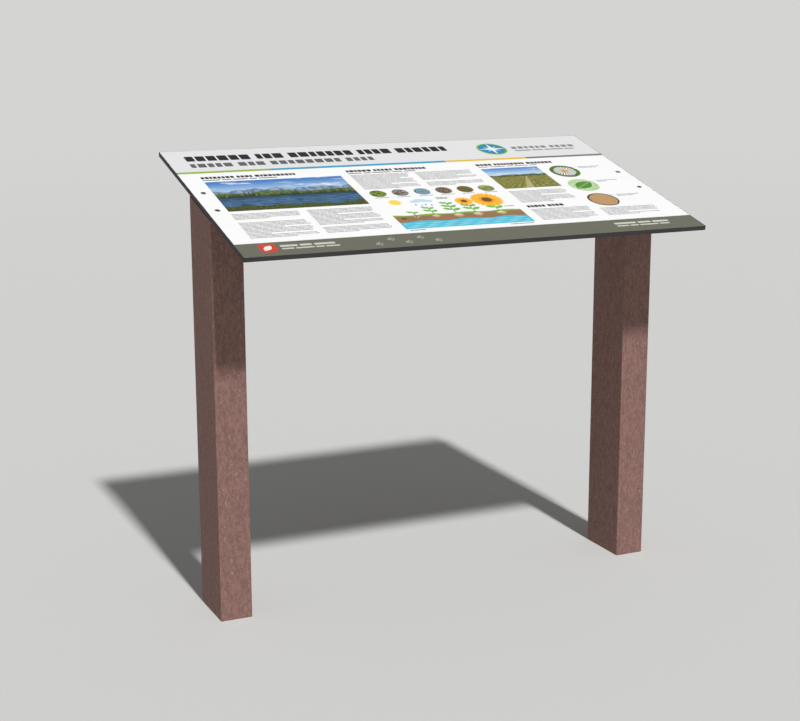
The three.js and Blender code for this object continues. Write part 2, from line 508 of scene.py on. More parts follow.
# %% [markdown]
# ## Screws that need the right key
#
# A sign that stands alone outdoors is held by screws that an ordinary driver can't turn. The head is
# countersunk, so it lies level with the sheet, and a pin stands in its six-lobed hollow. A Boolean
# could cut the hollow, but it would leave ragged faces. We start from the head's rim, a short
# cylinder, and pull its ends on, one ring at a time. The bottom runs in as a cone and on as the plain
# shank. Then the top is drawn in, pinched between the lobes and sunk to make the hollow, and the
# hollow's floor is pulled up into the pin. The shank comes first, because that floor lies deeper than
# the rim's bottom.

# %% Work out where the screws stand
HEAD_SINK = 0.1 * MM
screw_seats = {}
for node_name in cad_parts:
    if node_name.startswith("panel_screw"):
        low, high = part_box(node_name)
        middle = onto_panel.inverted() @ ((low + high) / 2)
        screw_seats[node_name] = Vector((middle.x, middle.y, -HEAD_SINK))
print("screws on the flat sheet (mm):", {
    name: [round(value / MM, 1) for value in seat] for name, seat in screw_seats.items()})

# %% Set the screw's measures
SCREW_RADIUS = 3 * MM
SCREW_LENGTH = 50 * MM
TIP_CHAMFER = 1 * MM
HEAD_RADIUS = 5.65 * MM
HEAD_RIM = 0.5 * MM
HEAD_EASE = 0.15 * MM
HEAD_POINTS = 72
LOBES = 6
SOCKET_RADIUS = 2.75 * MM
SOCKET_LIP = 0.12 * MM
SOCKET_PINCH_SHARE = 0.25
SOCKET_DEPTH = 1.8 * MM
PIN_RADIUS = 0.7 * MM
PIN_HEIGHT = 1.3 * MM
PIN_EASE = 0.1 * MM
print("head:", round(2 * HEAD_RADIUS / MM, 1), "mm across, screw:", round(SCREW_LENGTH / MM), "mm long")


# %% Work on ends and rings
def pull_rings(radius, rings):
    """Pulls the selected face through a row of rings, each given by its rise and its radius."""
    for rise, new_radius in rings:
        bpy.ops.mesh.extrude_region_move(TRANSFORM_OT_translate={"value": (0, 0, rise)})
        factor = new_radius / radius
        bpy.ops.transform.resize(value=(factor, factor, 1), center_override=(0, 0, 0))
        radius = new_radius


def select_end(piece, top):
    """Leaves only the top or bottom end face selected."""
    mesh = bmesh.from_edit_mesh(piece.data)
    ends = sorted(mesh.faces, key=lambda face: face.calc_center_median().z)
    for face in mesh.faces:
        face.select_set(False)
    (ends[-1] if top else ends[0]).select_set(True)
    bmesh.update_edit_mesh(piece.data)


def pinch_between_lobes(piece):
    mesh = bmesh.from_edit_mesh(piece.data)
    for vertex in mesh.verts:
        if vertex.select:
            turn = math.atan2(vertex.co.y, vertex.co.x)
            pinch = 1 - SOCKET_PINCH_SHARE * (1 - math.cos(LOBES * turn)) / 2
            vertex.co.x *= pinch
            vertex.co.y *= pinch
    bmesh.update_edit_mesh(piece.data)


# %% Turn one screw
def turn_screw():
    """A screw that stands upright at the origin with the top of its head at height 0."""
    bpy.ops.object.select_all(action="DESELECT")
    rim = HEAD_RIM - HEAD_EASE
    bpy.ops.mesh.primitive_cylinder_add(
        vertices=HEAD_POINTS, radius=HEAD_RADIUS, depth=rim, location=(0, 0, -HEAD_EASE - rim / 2))
    screw = bpy.context.object
    bpy.ops.object.mode_set(mode="EDIT")
    select_end(screw, top=False)
    cone = HEAD_RADIUS - SCREW_RADIUS
    pull_rings(HEAD_RADIUS, [
        (-cone, SCREW_RADIUS),
        (HEAD_RIM + cone + TIP_CHAMFER - SCREW_LENGTH, SCREW_RADIUS),
        (-TIP_CHAMFER, SCREW_RADIUS - TIP_CHAMFER),
    ])
    select_end(screw, top=True)
    lip_radius = SOCKET_RADIUS + SOCKET_LIP
    pull_rings(HEAD_RADIUS, [(HEAD_EASE, HEAD_RADIUS - HEAD_EASE), (0, lip_radius)])
    pinch_between_lobes(screw)
    pull_rings(lip_radius, [
        (-SOCKET_LIP, SOCKET_RADIUS),
        (SOCKET_LIP - SOCKET_DEPTH, SOCKET_RADIUS),
        (0, PIN_RADIUS),
        (PIN_HEIGHT - PIN_EASE, PIN_RADIUS),
        (PIN_EASE, PIN_RADIUS - PIN_EASE),
    ])
    bpy.ops.mesh.select_all(action="SELECT")
    bpy.ops.mesh.normals_make_consistent(inside=False)
    bpy.ops.object.mode_set(mode="OBJECT")
    bpy.ops.object.shade_smooth_by_angle(angle=EDGE_ANGLE)
    return screw


# %% Stand a copy of the screw in each hole
def stand_in_panel(piece, seat):
    """Tilts a piece made upright at the origin, so that it stands on the panel at a flat place."""
    piece.matrix_world = onto_panel @ Matrix.Translation(seat)
    select_only(piece)
    bpy.ops.object.transform_apply(location=True, rotation=True, scale=True)


screw_pattern = turn_screw()
key_turns = random.Random(3)
for node_name, seat in screw_seats.items():
    screw = screw_pattern.copy()
    screw.data = screw_pattern.data.copy()
    screw.name = node_name.replace("panel", "countersunk")
    bpy.context.scene.collection.objects.link(screw)
    screw.data.transform(Matrix.Rotation(key_turns.uniform(0, math.tau / LOBES), 4, "Z"))
    stand_in_panel(screw, seat)
    screw.data.materials.append(finish_of(node_name))
    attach(screw, "root")
    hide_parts(node_name)
bpy.data.objects.remove(screw_pattern)
print("screws:", len(screw_seats), "with", len(screw.data.polygons), "faces each")

# %% [markdown]
# ## How the print is made
#
# The print is laid in layers of ink: wide bands of colour first, then pictures and bars on top. One
# large image could hold it all, but its edges would blur when seen close. So each ink is a flat
# shape, drawn in millimetres from the sheet's top left corner, as a designer would lay it out. Each
# layer is a film a fraction of a millimetre thick, sunk a little into the sheet, so that no two
# surfaces lie in one plane and flicker. The next layer stands a film higher, and where shapes in one
# layer overlap, each is lifted a few thousandths of a millimetre more.
#
# Everything drawn inside a `with printed(...)` block becomes one piece. Words are shown as plain
# bars, as designers do before the text is written.

# %% Draw flat shapes in millimetres
LIFT = 0.008 * MM
FILM = 10 * LIFT
FILM_SINK = 0.1 * MM


def on_sheet(across, down, lifts=0):
    """A place on the flat sheet, from millimetres right of its left edge and down from its top edge."""
    return Vector((across * MM - sheet_width / 2, sheet_depth - down * MM, lifts * LIFT))


def size_to(centre, width, height):
    bpy.ops.transform.resize(value=(width * MM, height * MM, 1), center_override=centre)


def turn_about(centre, degrees):
    bpy.ops.transform.rotate(value=math.radians(degrees), orient_axis="Z", center_override=centre)


def bar(across, down, width, height, round_corner=0):
    """A rectangle, from its top left corner."""
    centre = on_sheet(across + width / 2, down + height / 2)
    bpy.ops.mesh.primitive_plane_add(size=1, location=centre)
    size_to(centre, width, height)
    if round_corner:
        bpy.ops.mesh.bevel(offset=round_corner * MM, segments=5, affect="VERTICES")


def oval(across, down, width, height, turn=0, points=40, lifts=0):
    """An ellipse, from its middle."""
    centre = on_sheet(across, down, lifts)
    bpy.ops.mesh.primitive_circle_add(vertices=points, radius=0.5, fill_type="NGON", location=centre)
    size_to(centre, width, height)
    if turn:
        turn_about(centre, turn)


# %% Lay drawn shapes on the sheet
@contextmanager
def printed(name, material, layer=1):
    """Starts an empty piece, lets its shapes be drawn, thickens them and lays them on the sheet."""
    bpy.ops.object.select_all(action="DESELECT")
    bpy.ops.mesh.primitive_plane_add(size=MM)
    piece = bpy.context.object
    piece.name = "print_" + name
    bpy.ops.object.mode_set(mode="EDIT")
    bpy.ops.mesh.select_all(action="SELECT")
    bpy.ops.mesh.delete(type="VERT")
    yield
    bpy.ops.object.mode_set(mode="OBJECT")
    film = piece.modifiers.new("film", "SOLIDIFY")
    film.thickness = layer * FILM + FILM_SINK
    film.offset = -1
    select_only(piece)
    bpy.ops.object.modifier_apply(modifier=film.name)
    stand_in_panel(piece, Vector((0, 0, layer * FILM)))
    piece.data.materials.append(material)
    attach(piece, "root")
    print(piece.name, len(piece.data.polygons), "faces")


# %% Mix a plain printing ink
PRINT_SHEEN = 0.1


def ink(name, red, green, blue, unevenness=0.025):
    """A flat ink. Real ink lies a little unevenly, which shows as a very soft mottle."""
    finish = Finish("ink_" + name, gloss=PRINT_SHEEN)
    flat = flat_place(finish)
    mottle = finish.noise(flat, 0.06, 4, 0.6)
    return finish.finish_with(
        base_color=finish.paint((red, green, blue), (255, 255, 255), mottle, 0.35, 0.8, unevenness),
        roughness=0.5 + 0.14 * mottle,
        normal=finish.bump(finish.noise(flat, 0.35), RIPPLE_HEIGHT),
    )


BLACK_INK = ink("black", 26, 26, 27, 0.004)
SOFT_INK = ink("soft_black", 92, 92, 94, 0.02)
TEXT_INK = ink("text_grey", 130, 130, 132)
WHITE_INK = ink("white", 236, 236, 232)
print("inks mixed for all the words")

# %% [markdown]
# ## Bands, rule and title
#
# A pale grey band runs behind the title. A thin rule in four colours closes it, and an olive band
# ends the sheet at the reading edge. The rule is one strip for each colour, end to end, so that each
# keeps a crisp end. The title is two rows of blocks, one block for each letter. The blocks' widths
# come from a seeded random generator, so the print is the same every time.

# %% Print the bands
HEADER_DEPTH = 135
RULE_DEPTH = 11
FOOTER_START = 543
ink_end = width_mm - FILED_BAND

with printed("header_band", ink("pale_grey", 226, 226, 227, 0.04)):
    bar(FILED_BAND, FILED_BAND, ink_end - FILED_BAND, HEADER_DEPTH - FILED_BAND)
with printed("footer_band", ink("olive_grey", 105, 105, 92, 0.012)):
    bar(FILED_BAND, FOOTER_START, ink_end - FILED_BAND, depth_mm - FOOTER_START - FILED_BAND)

RULE_STRIPS = [
    ("green", 220, ink("leaf_green", 146, 180, 62)),
    ("blue", 444, ink("clear_blue", 46, 158, 194)),
    ("yellow", 220, ink("warm_yellow", 230, 190, 58)),
    ("grey", 216, ink("middle_grey", 118, 118, 120)),
]
strip_start = 0
for strip_name, strip_length, strip_ink in RULE_STRIPS:
    left = max(strip_start, FILED_BAND)
    right = min(strip_start + strip_length, ink_end)
    with printed(f"rule_{strip_name}", strip_ink):
        bar(left, HEADER_DEPTH, right - left, RULE_DEPTH)
    strip_start += strip_length

# %% Print the title's blocks
MARGIN = 46
TITLE_WORDS = [6, 3, 7, 4, 6]
SUBTITLE_WORDS = [5, 3, 8, 4]
ROUND_CORNER_SHARE = 0.08
block_widths = random.Random(5)


def block_row(across, down, height, words, narrow, wide, gap, word_gap):
    """Words as rows of blocks, one for each letter, with plain gaps between them."""
    for letters in words:
        for _ in range(letters):
            width = block_widths.uniform(narrow, wide)
            bar(across, down, width, height, height * ROUND_CORNER_SHARE)
            across += width + gap
        across += word_gap - gap
    return across


with printed("title", BLACK_INK, layer=2):
    title_end = block_row(MARGIN, 39, 31, TITLE_WORDS, narrow=14, wide=24, gap=4.4, word_gap=16)
with printed("subtitle", SOFT_INK, layer=2):
    subtitle_end = block_row(MARGIN, 87, 23, SUBTITLE_WORDS, narrow=12, wide=20, gap=5, word_gap=15)
print("title ends at", round(title_end), "mm, subtitle at", round(subtitle_end), "mm")

# %% [markdown]
# ## Paragraphs and headings
#
# The sheet has six columns of text, two under each heading, and a narrow one for notes beside the
# large discs. A paragraph is a column of thin bars, one bar for each word. The words' lengths are
# random too, from a seed of their own. The last line of each paragraph stops short, as in real text,
# because that ragged shape is what makes grey bars read as words.

# %% Set the paragraphs
COLUMNS = [(MARGIN, 200), (216, 370), (393, 540), (556, 703), (729, 878), (900, 1050), (986, 1050)]
LINE_PITCH = 6.6
TEXT_HEIGHT = 2.6
PARAGRAPH_LINES = 5
WORD_LENGTH = (6, 26)
WORD_GAP = (1.0, 1.4)
EMPTY_REST = 4
LAST_LINE_FILLED = (0.35, 0.8)
OTHER_LINES_FILLED = (0.94, 1)
word_lengths = random.Random(11)


def text_line(left, right, down):
    """A line of bars. An end shorter than the empty rest gets no bar."""
    across = left
    while across < right - EMPTY_REST:
        width = min(word_lengths.uniform(*WORD_LENGTH), right - across)
        bar(across, down, width, TEXT_HEIGHT)
        across += width + word_lengths.uniform(*WORD_GAP)


def paragraph(left, right, top, bottom):
    """Lines of words down a column, the last of every few lines a short one."""
    lines = int((bottom - top - TEXT_HEIGHT) // LINE_PITCH) + 1
    for line in range(lines):
        last = line == lines - 1 or line % PARAGRAPH_LINES == PARAGRAPH_LINES - 1
        filled = word_lengths.uniform(*(LAST_LINE_FILLED if last else OTHER_LINES_FILLED))
        text_line(left, left + (right - left) * filled, top + line * LINE_PITCH)


# Each paragraph has its column, its top and its bottom.
PARAGRAPHS = {
    "left": [(0, 388, 422), (0, 436, 520), (1, 388, 470), (1, 484, 518)],
    "centre": [(2, 200, 292), (3, 200, 250), (3, 264, 292)],
    "right": [(4, 346, 420), (4, 456, 520), (5, 472, 520)],
    "notes": [(6, 214, 228), (6, 306, 320), (6, 398, 412)],
}
for name, places in PARAGRAPHS.items():
    with printed(f"text_{name}", TEXT_INK):
        for column, top, bottom in places:
            paragraph(*COLUMNS[column], top, bottom)


# %% Set the headings
def word_row(across, down, height, widths, gap, round_corner=0):
    for width in widths:
        bar(across, down, width, height, round_corner)
        across += width + gap


# Each heading has its column, its place down and the letters in its words.
HEADING_HEIGHT = 12
HEADINGS = [(0, 169, [8, 4, 10]), (2, 169, [6, 5, 8]), (4, 169, [4, 9, 7]), (4, 433, [5, 4])]
with printed("headings", BLACK_INK):
    for column, down, words in HEADINGS:
        start, _ = COLUMNS[column]
        block_row(start, down, HEADING_HEIGHT, words, narrow=6, wide=10, gap=2, word_gap=7)

# Each subheading has its column, its height and the widths of its words.
SUBHEADING_DOWN = 187
SUBHEADINGS = [(0, 5, [40, 22, 34, 18, 44]), (2, 5, [34, 18, 46, 26, 30]), (4, 4, [28, 40, 18, 36, 20])]
ROSE_WORDS = 880
with printed("subheadings", TEXT_INK, layer=2):
    for column, height, widths in SUBHEADINGS:
        word_row(COLUMNS[column][0], SUBHEADING_DOWN, height, widths, gap=4)
    block_row(ROSE_WORDS, 62, 15, [6, 4], narrow=9, wide=15, gap=5, word_gap=12)
    word_row(ROSE_WORDS, 86, 6, [44, 30, 52, 26], gap=5)

# %% [markdown]
# ## Landscapes painted as sums
#
# A picture is a plain plate, and its material paints it. No image file is needed, and it stays sharp
# at any distance. The coordinates are millimetres from a place on the sheet: for a landscape, its
# plate's lower left corner. We paint from back to front, as in poster paint: the sky, then each range
# of hills under its own ragged outline, then the ground. `under` says where a layer covers the ones
# behind it.

# %% Start a picture
class Picture(Finish):
    """The finish of one printed picture, with x and y in millimetres from a place on the sheet."""

    def __init__(self, name, across, down):
        super().__init__("picture_" + name, gloss=PRINT_SHEEN)
        self.flat = flat_place(self, on_sheet(across, down))
        self.x, self.y, _ = self.split(self.flat)

    def grain(self, scale, detail=2, roughness=0.5):
        return self.noise(self.flat, scale, detail, roughness)

    def reach(self, across=0, up=0, squash=1):
        """The distance from a place in the picture."""
        x = self.x - across
        y = self.y - up
        return (x * x + squash * y * y).root()

    def strokes(self, across, up, detail, roughness):
        """Noise that changes at its own rate across the picture and up it."""
        return self.noise(self.stretch(self.flat, (across, up, 0)), 1, detail, roughness)

    def cells(self, scale, feature="F1", output="Distance"):
        inputs = {"Vector": self.flat, "Scale": scale}
        return self.node("TexVoronoi", {"feature": feature}, inputs, output)

    def chance(self, cell):
        """A number from 0 to 1 that is the same all over one cell."""
        return self.node("TexWhiteNoise", {"noise_dimensions": "1D"}, {"W": cell}, "Value")

    def outline(self, along, low, high, seed, detail=4):
        """A ragged line, such as hills on the horizon: a height for each place along."""
        inputs = {"W": along + seed, "Scale": 1, "Detail": detail, "Roughness": 0.5}
        return low + (high - low) * self.node("TexNoise", {"noise_dimensions": "1D"}, inputs, "Fac")

    def under(self, height, line, soft=0.5):
        """1 under a line, 0 above it, with a short soft step between them."""
        return self.mask(line - height, 0, soft)


def painted(name, across, down, paint_view):
    art = Picture(name, across, down)
    view = paint_view(art)
    sheen = art.grain(0.3)
    return art.finish_with(
        base_color=view, roughness=0.5 + 0.12 * sheen, normal=art.bump(sheen, RIPPLE_HEIGHT))


# %% Paint the lake
def paint_lake(art):
    x, y = art.x, art.y
    clouds = art.strokes(0.012, 0.036, 6, 0.62)
    view = art.paint((176, 207, 232), (66, 124, 194), y, 95, 172)
    view = art.paint(view, (240, 245, 250), clouds, 0.53, 0.68, 0.9)

    far_range = art.outline(0.018 * x, 92, 142, 5, 6)
    rock = art.paint((96, 120, 150), (150, 168, 188), art.strokes(0.06, 0.03, 4, 0.6), 0.4, 0.62)
    view = art.mix(view, rock, art.under(y, far_range))

    hills = art.outline(0.011 * x, 82, 118, 41, 3)
    woods = art.grain(0.16, 4, 0.65)
    hill_tone = art.paint((58, 80, 44), (118, 132, 74), woods, 0.38, 0.64)
    view = art.mix(view, hill_tone, art.under(y, hills))

    tree = 0.2 * x
    slope = 1 - abs(2 * (tree % 1) - 1)
    stand = art.mask(art.strokes(0.02, 0, 2, 0.5), 0.3, 0.6)
    tree_top = 82 + 40 * art.chance(tree.floor()) * stand * slope
    tier = (0.24 * y) % 1
    conifers = art.mix((12, 26, 18), (38, 58, 32), woods)
    view = art.mix(view, conifers, art.under(y + 5 * tier, tree_top))

    ripples = art.strokes(0.03, 0.5, 4, 0.65)
    water = art.paint((24, 54, 90), (98, 142, 178), ripples, 0.38, 0.68)
    water = art.paint(water, (34, 56, 44), y + 26 * ripples, 68, 92, 0.85)
    view = art.mix(view, water, art.under(y, 78, 0.8))

    bank = art.outline(0.014 * x, 2, 46, 9, 4)
    grass = art.paint((24, 38, 14), (108, 120, 48), art.strokes(0.7, 0.09, 4, 0.7), 0.38, 0.7)
    view = art.mix(view, grass, art.under(y, bank))

    reed = 0.36 * (x - 0.09 * y)
    reed_side = abs(2 * (reed % 1) - 1)
    standing = art.mask(art.chance(reed.floor() + 500), 0.45, 0.5)
    reed_top = 1 + 72 * art.chance(reed.floor()) * standing
    reeds = art.mask(0.75 * (1 - y / reed_top) - reed_side, 0, 0.2) * art.mask(x, 120, 40)
    return art.mix(view, (58, 62, 26), reeds)


def print_landscape(name, across, down, width, height, paint_view):
    with printed(f"{name}_picture", painted(name, across, down + height, paint_view)):
        bar(across, down, width, height)


print_landscape("lake", MARGIN, 200, 324, 172, paint_lake)


# %% Paint the fields
def paint_fields(art):
    x, y = art.x, art.y
    clouds = art.strokes(0.02, 0.06, 5, 0.6)
    view = art.paint((190, 216, 236), (74, 134, 202), y, 82, 134)
    view = art.paint(view, (242, 246, 250), clouds, 0.56, 0.7, 0.9)

    ridge = art.outline(0.02 * x, 74, 100, 73, 3)
    tone = art.grain(0.12, 3, 0.6)
    ridge_tone = art.mix((94, 122, 120), (124, 146, 128), tone)
    view = art.mix(view, ridge_tone, art.under(y, ridge))
    hedge = art.outline(0.09 * x, 72, 90, 21)
    leaves = art.grain(0.4, 3, 0.6)
    hedge_tone = art.mix((30, 48, 26), (74, 94, 44), leaves)
    view = art.mix(view, hedge_tone, art.under(y, hedge))

    ground = art.under(y, 75, 1)
    sideways = (x - 96) / (80 - y)
    earth = art.paint((120, 106, 58), (176, 158, 92), tone, 0.35, 0.65)
    crop = art.mix((78, 94, 36), (124, 138, 58), leaves)
    rows = (sideways * 26).wave()
    field = art.mix(earth, crop, art.mask(rows, 0.35, 0.6))
    view = art.mix(view, field, ground)
    path = art.mask(abs(sideways + 0.35), 0.16, 0.12) * ground
    return art.mix(view, art.mix((196, 182, 140), (168, 150, 108), tone), path)


print_landscape("fields", COLUMNS[4][0], 200, 151, 130, paint_fields)

# %% [markdown]
# ## Round close-ups
#
# Nine round pictures show things that a walker finds: moss, pebbles, ripples, bark, berries and grass
# in a row of small discs, and a daisy, a leaf and a felled trunk in larger ones. Their coordinates
# start at the disc's middle, so a radius and an angle draw petals and year rings. The rest is cells
# and noise, which look like moss, stones or bark once they have the right scale and colours.

# %% Paint the small discs
def paint_moss(art):
    hairs = art.grain(0.9, 3, 0.7)
    body = art.paint((168, 188, 70), (34, 58, 18), art.cells(0.28), 0.15, 0.75)
    return art.paint(body, (206, 214, 110), hairs, 0.58, 0.7, 0.6)


def paint_pebbles(art):
    stone, _, _ = art.split(art.cells(0.17, output="Color"))
    body = art.mix((92, 88, 84), (196, 188, 176), stone)
    return art.paint((40, 38, 36), body, art.cells(0.17, "DISTANCE_TO_EDGE"), 0.03, 0.14)


def paint_ripples(art):
    bend = art.grain(0.08)
    rings = (0.9 * art.reach(squash=2.2) + 5 * bend).wave()
    return art.paint((38, 84, 112), (170, 204, 214), rings, 0.25, 0.95)


def paint_bark(art):
    ridges = art.strokes(0.42, 0.1, 4, 0.65)
    body = art.paint((38, 30, 24), (150, 130, 106), ridges, 0.38, 0.64)
    lichen = art.grain(0.2, 3, 0.6)
    return art.paint(body, (176, 186, 140), lichen, 0.6, 0.66, 0.7)


def paint_berries(art):
    berry = art.cells(0.15)
    leaves = art.grain(0.3, 3, 0.6)
    body = art.mix((40, 64, 30), (104, 132, 58), leaves)
    red = art.paint((214, 60, 44), (104, 18, 20), berry, 0.08, 0.42)
    body = art.paint(body, red, berry, 0.44, 0.4)
    return art.paint(body, (250, 206, 190), berry, 0.1, 0.06, 0.8)


def paint_grass(art):
    body = art.paint((54, 74, 38), (176, 184, 112), art.strokes(0.7, 0.05, 3, 0.7), 0.38, 0.64)
    return art.paint(body, (214, 206, 160), art.y, 4, 18, 0.6)


# %% Paint the large discs
def paint_daisy(art):
    reach = art.reach()
    petal = (21 * art.y.maths("ARCTAN2", art.x)).wave("COSINE")
    wobble = art.grain(0.12)
    meadow = art.strokes(0.3, 0.12, 4, 0.65)
    body = art.paint((36, 62, 26), (112, 142, 62), meadow, 0.36, 0.66)
    petals = art.mask(petal, 0.12, 0.3) * art.mask(reach + 5 * wobble, 31.5, 30)
    body = art.mix(body, art.paint((196, 198, 206), (250, 250, 248), petal, 0.3, 1), petals)
    heart = art.paint((250, 204, 60), (196, 132, 26), art.cells(0.9), 0.2, 0.7)
    return art.paint(body, heart, reach, 9.6, 8.8)


def paint_leaf(art):
    x, y = art.x, art.y
    along = 0.82 * x + 0.57 * y
    across = abs(0.82 * y - 0.57 * x)
    blade_half = 19 * (1 - (along / 33) * (along / 33))
    ground = art.grain(0.1, 3)
    body = art.paint((206, 222, 190), (170, 200, 140), ground, 0.35, 0.65)
    grain = art.grain(0.8, 3, 0.6)
    blade = art.paint((30, 96, 34), (84, 156, 52), grain, 0.3, 0.7)
    vein = abs(((along - 0.9 * across) / 6) % 1 - 0.5)
    blade = art.paint(blade, (168, 206, 110), vein, 0.09, 0.03, 0.8)
    blade = art.paint(blade, (190, 216, 130), across, 1.0, 0.6)
    return art.paint(body, blade, blade_half - across, 0, 0.6)


def paint_year_rings(art):
    bend = art.grain(0.035, 3)
    rings = (1.25 * (art.reach(-4, 3) + 9 * bend)).wave()
    grain = art.grain(1.1, 2, 0.6)
    body = art.paint((136, 90, 52), (216, 178, 126), rings, 0.05, 0.6)
    body = art.paint(body, (122, 82, 48), grain, 0.55, 0.7, 0.4)
    return art.paint(body, (66, 50, 38), art.reach() + 3 * bend, 35, 36)


# %% Print the discs
SMALL_DISCS = {
    "moss": paint_moss, "pebbles": paint_pebbles, "ripples": paint_ripples,
    "bark": paint_bark, "berries": paint_berries, "grass": paint_grass,
}
SMALL_DISC = 39
SMALL_DOWN = 318
small_places = [413 + 54.4 * place for place in range(len(SMALL_DISCS))]
LARGE_DISCS = {"daisy": paint_daisy, "leaf": paint_leaf, "year_rings": paint_year_rings}
LARGE_DISC = 76
LARGE_ACROSS = 938
large_places = [240 + 92 * place for place in range(len(LARGE_DISCS))]


def print_disc(name, across, down, size, paint_view):
    with printed(f"disc_{name}", painted(name, across, down, paint_view)):
        oval(across, down, size, size, points=96)


for across, (name, paint_view) in zip(small_places, SMALL_DISCS.items()):
    print_disc(name, across, SMALL_DOWN, SMALL_DISC, paint_view)
for down, (name, paint_view) in zip(large_places, LARGE_DISCS.items()):
    print_disc(name, LARGE_ACROSS, down, LARGE_DISC, paint_view)

CAPTION_DOWN = 341
CAPTION_HALF = 17
LEADER_RISE = 24
LEADER_END = 45
LEADER_LINE = 0.8
leader_start = math.sqrt((LARGE_DISC / 2) ** 2 - LEADER_RISE ** 2)
with printed("captions", TEXT_INK, layer=2):
    for across in small_places:
        text_line(across - CAPTION_HALF, across + CAPTION_HALF, CAPTION_DOWN)
    for down in large_places:
        bar(LARGE_ACROSS + leader_start, down - LEADER_RISE, LEADER_END - leader_start, LEADER_LINE)

# %% [markdown]
# ## From seed to flower
#
# The centre of the sheet shows a flower's life: a seed in the soil, a sprout, a seedling, a budding
# plant and the open flower, with the ground water under them all. Noise can't draw it, because each
# shape has its own place. It is drawn in flat inks, one piece for each, from five shapes: a bar, an
# oval, a leaf, a star and a strip with a wavy top.

# %% Draw leaves
@contextmanager
def drawn_points():
    """Opens the points of the shape that was drawn last, which is still selected, to be moved."""
    piece = bpy.context.object
    mesh = bmesh.from_edit_mesh(piece.data)
    yield [vertex for vertex in mesh.verts if vertex.select]
    bmesh.update_edit_mesh(piece.data)


def leaf(across, down, length, width, turn, lifts=0):
    """A leaf from its stalk end, pointing to the right before it is turned."""
    stalk = on_sheet(across, down, lifts)
    bpy.ops.mesh.primitive_circle_add(vertices=28, radius=1, fill_type="NGON", location=stalk)
    with drawn_points() as points:
        for point in points:
            share = point.co.x - stalk.x
            lean = math.sqrt(max(0, 1 - share * share))
            point.co.y = stalk.y + (point.co.y - stalk.y) * lean * width * MM / 2
            point.co.x = stalk.x + (share + 1) * length * MM / 2
    turn_about(stalk, turn)


# %% Draw stars and wavy strips
def star(across, down, tips, outer, inner, turn=0):
    """A disc of twice as many points as the star has tips, with every other point drawn in."""
    centre = on_sheet(across, down)
    bpy.ops.mesh.primitive_circle_add(
        vertices=2 * tips, radius=outer * MM, fill_type="NGON", location=centre)
    with drawn_points() as points:
        for corner in sorted(points, key=lambda corner: corner.index)[1::2]:
            corner.co = centre + (corner.co - centre) * inner / outer
    turn_about(centre, turn)


def wavy_strip(across, down, width, height, swing, wave, shift=0):
    """A strip whose top edge is a wave. It is drawn as one row of narrow panes."""
    centre = on_sheet(across + width / 2, down + height / 2)
    bpy.ops.mesh.primitive_grid_add(x_subdivisions=60, y_subdivisions=1, size=1, location=centre)
    size_to(centre, width, height)
    with drawn_points() as points:
        for point in points:
            if point.co.y > centre.y:
                point.co.y += swing * MM * math.sin(shift + point.co.x / (wave * MM) * math.tau)


# %% Draw the ground
GROUND = 452
GROUND_START = 393
GROUND_WIDTH = 312
GROUND_SWING = 2.2
GROUND_WAVE = 92
with printed("soil", ink("soil_brown", 150, 112, 78)):
    wavy_strip(GROUND_START, GROUND, GROUND_WIDTH, 40, GROUND_SWING, GROUND_WAVE)
with printed("turf", ink("turf_green", 128, 176, 62), layer=2):
    wavy_strip(GROUND_START, GROUND - 4, GROUND_WIDTH, 7, GROUND_SWING, GROUND_WAVE)
with printed("ground_water", ink("water_blue", 76, 190, 216), layer=2):
    wavy_strip(GROUND_START, 484, GROUND_WIDTH, 38, 3, 104, 1.2)
with printed("water_lines", ink("pale_blue", 170, 226, 238), layer=3):
    for down, shift in ((494, 0.4), (504, 2.1), (513, 3.9)):
        wavy_strip(GROUND_START + 6, down, GROUND_WIDTH - 12, 2, 1.4, 40, shift)

# %% Draw the plants
# Each plant has its place across, its height and its pairs of leaves.
PLANTS = [(446, 22, 1), (492, 44, 2), (546, 66, 3), (594, 64, 3), (652, 64, 3)]
STEM = 2.4
with printed("stems", ink("stem_green", 86, 150, 56), layer=3):
    for across, height, _ in PLANTS:
        bar(across - STEM / 2, GROUND - height, STEM, height + 2)

with printed("leaves", ink("leaf_bright", 112, 184, 64), layer=4):
    for across, height, pairs in PLANTS:
        for pair in range(pairs):
            down = GROUND - height * (pair + 1) / (pairs + 0.6)
            length = 12 + 3.7 * pairs - 2.2 * pair
            for side, turn in ((1, -28), (-1, -152)):
                leaf(across, down + 2 * side, length, length * 0.5, turn)

with printed("roots", ink("root_cream", 228, 208, 168), layer=3):
    for across, height, pairs in PLANTS:
        for spread in range(-pairs, pairs + 1):
            length = 9 + height * 0.22 - 2 * abs(spread)
            turn = 90 - spread * 62 / (pairs + 0.5)
            leaf(across, GROUND + 1, length, STEM, turn, spread + pairs)

with printed("seeds", ink("seed_brown", 78, 54, 36), layer=4):
    oval(412, GROUND + 14, 12, 8, 20)
    oval(PLANTS[0][0], GROUND + 3, 8, 5)

# %% Draw the flowers
# Each flower has its middle, its reach and its number of petals.
FLOWERS = [(652, 387, 38, 22), (594, 388, 22, 16)]
